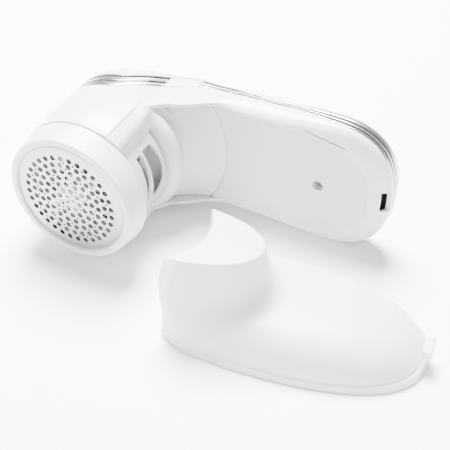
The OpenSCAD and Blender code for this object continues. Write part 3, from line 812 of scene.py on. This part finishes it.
# ---- power button: the block that fills the gap in the band ----
def make_button():
    start, end = BUTTON_X0 + BUTTON_GAP, BUTTON_X1 - BUTTON_GAP
    xs = np.concatenate([[start], np.linspace(start + 0.06, BUTTON_X0 + 1.0, 6),
                         np.linspace(BUTTON_X0 + 1.0, BUTTON_X1 - 1.0, 16)[1:-1],
                         np.linspace(BUTTON_X1 - 1.0, end - 0.06, 6), [end]])
    w = side_w(xs)
    at_end = np.minimum(xs - xs[0], xs[-1] - xs)
    end_drop = 0.8 * (1 - np.sqrt(np.clip(1 - (1 - np.clip(at_end / 0.8, 0, 1)) ** 2, 0, 1)))
    low, high = band_low(xs) + 0.2, band_high(xs) - 0.2
    rows = []
    shares = [np.linspace(0, 0.1, 6), np.linspace(0.1, 0.9, 14)[1:-1], np.linspace(0.9, 1, 6)]
    for v in np.concatenate(shares):
        e = min(v, 1 - v) * 8
        drop = 0.6 * (1 - math.sqrt(max(0, 1 - (1 - min(1, e / 0.8)) ** 2)))
        g = -0.05 + np.maximum(end_drop, drop)
        rows.append(np.stack([xs, -(w - g), low + (high - low) * v], -1))
    for v in (1.0, 0.0):
        rows.append(np.stack([xs, -(w - 1.6), low + (high - low) * v], -1))
    p = np.array(rows)
    r, c = p.shape[:2]
    faces = grid_faces(r, c, True, False, flip=True).tolist()
    faces.append(tuple(i * c for i in range(r))[::-1])
    faces.append(tuple(i * c + c - 1 for i in range(r)))
    stem = revolve([(0.001, 0), (1.6, 0), (1.6, 1.6), (0.001, 1.6)], 32)
    sv = np.stack([stem[0][:, 0] + 21, -30.2 + stem[0][:, 2] * 0.875, stem[0][:, 1] + 67.5], -1)
    v, f = merge([(p.reshape(-1, 3), faces), (sv, stem[1])])
    return make("power_button_skin", v, f, MATS["white_button"], "button",
                ["power_button"], 40)


make_button()


# ---- lint bin ----
def toe_shape(x, y, z):
    q = np.where(x > BIN_MID,
                 (np.abs((x - BIN_MID) / (BIN_TOE - BIN_MID)) ** 2.5 + np.abs(y / BIN_W) ** 2.5) ** 0.4,
                 np.sqrt(((x - BIN_MID) / BIN_HEEL) ** 2 + (y / BIN_W) ** 2))
    dome = ((np.maximum(z, 0) / BIN_TOE_H) ** 2 + q ** 4.8 + 1e-9) ** 0.3 - 1
    return dome * 23


def bin_solid(x, y, z):
    s = np.clip(z / BIN_H, 0, 1)
    toe = toe_shape(x, y, z) + 0.8 * smooth((z - 3.4) / 0.4)
    ankle_y = mix(0.0, ANKLE_Y, s)
    across = (x - mix(24, 15, s)) / mix(35, 38, s)
    aside = (y - ankle_y) / mix(29.4, 18.6, s)
    ankle = (np.sqrt(across ** 2 + aside ** 2) - 1) * mix(28, 20, s)
    heel = (np.sqrt(((x - BIN_MID) / BIN_HEEL) ** 2 + (y / BIN_W) ** 2) - 1) * 30
    ankle = smax(ankle, heel - 3.0 * s, 2.0)
    ankle = smax(ankle, z - BIN_H, 0.8)
    body = smin(toe, ankle, 6.5)
    rho = np.sqrt(x * x + y * y)
    body = smax(body, CHAMBER_R - 1.1 - rho, 0.9)
    return smax(body, (12 + HORN_SLOPE * (y + 22)) - x, 0.9)


def bin_field(x, y, z):
    outer = bin_solid(x, y, z)
    shell = smax(outer, -(bin_solid(x, y, np.maximum(z, 0.4)) + BIN_T), 0.35)
    shell = smax(shell, -z + 0.0, 0.4)
    tab = smax(smax(np.abs(y) - TAB_W / 2, np.abs(z - 9.5) - 2.6, 0.9), np.abs(x - BIN_TOE + 0.6) - 2.1, 0.9)
    tab = np.maximum(tab, -(outer + 0.8))
    return smin(shell, tab, 0.6)


def make_bin():
    v, f = field_mesh(bin_field, (9.0, -34.0, -1.2), (129.0, 34.0, 45.6), 0.62)
    return make("lint_bin_skin", v, f, MATS["milky_bin"], "bin", ["lint_bin"], 50,
                to_row=bin_to_row)


make_bin()

# ---- floor, light and camera ----
def ground():
    floor = material("floor", (0.95, 0.95, 0.95), 0.85, bump=0.0, spread=0.0, rough_spread=0.0)
    mesh = bpy.data.meshes.new("floor")
    mesh.from_pydata([(-6, -6, 0), (6, -6, 0), (6, 6, 0), (-6, 6, 0)], [], [(0, 1, 2, 3)])
    mesh.materials.append(floor)
    obj = bpy.data.objects.new("floor", mesh)
    bpy.context.scene.collection.objects.link(obj)


def lamp(name, place, aim, size, power, color=(1, 1, 1)):
    data = bpy.data.lights.new(name, "AREA")
    data.shape = "DISK"
    data.size = size
    data.energy = power
    data.color = color
    obj = bpy.data.objects.new(name, data)
    obj.location = place
    obj.rotation_euler = (Vector(aim) - Vector(place)).to_track_quat("-Z", "Y").to_euler()
    bpy.context.scene.collection.objects.link(obj)


ground()
lamp("key", (-0.25, 0.35, 0.95), (0, 0, 0.03), 0.6, 125.0)
lamp("fill", (0.75, -0.75, 0.6), (0, 0, 0.03), 0.6, 6.0)
lamp("front", (-0.6, -0.9, 0.7), (0, 0, 0.03), 0.7, 11.0)

world = bpy.data.worlds.new("studio")
world.use_nodes = True
world.node_tree.nodes["Background"].inputs["Color"].default_value = (1, 1, 1, 1)
world.node_tree.nodes["Background"].inputs["Strength"].default_value = 0.8
bpy.context.scene.world = world

cam_data = bpy.data.cameras.new("camera")
cam_data.lens = 80
cam_data.sensor_width = 36
cam_data.clip_start = 0.01
cam = bpy.data.objects.new("camera", cam_data)
bpy.context.scene.collection.objects.link(cam)
RIGHT = Vector((0.89190805, 0.45221679, 0.0))
UP = Vector((-0.29066121, 0.57327167, 0.7660781))
BACK = Vector((0.34643338, -0.68327123, 0.6427475))
PLACE = (0.15383645, -0.30897868, 0.31608)
cam.matrix_world = Matrix.Translation(PLACE) @ Matrix((RIGHT, UP, BACK)).transposed().to_4x4()
bpy.context.scene.camera = cam
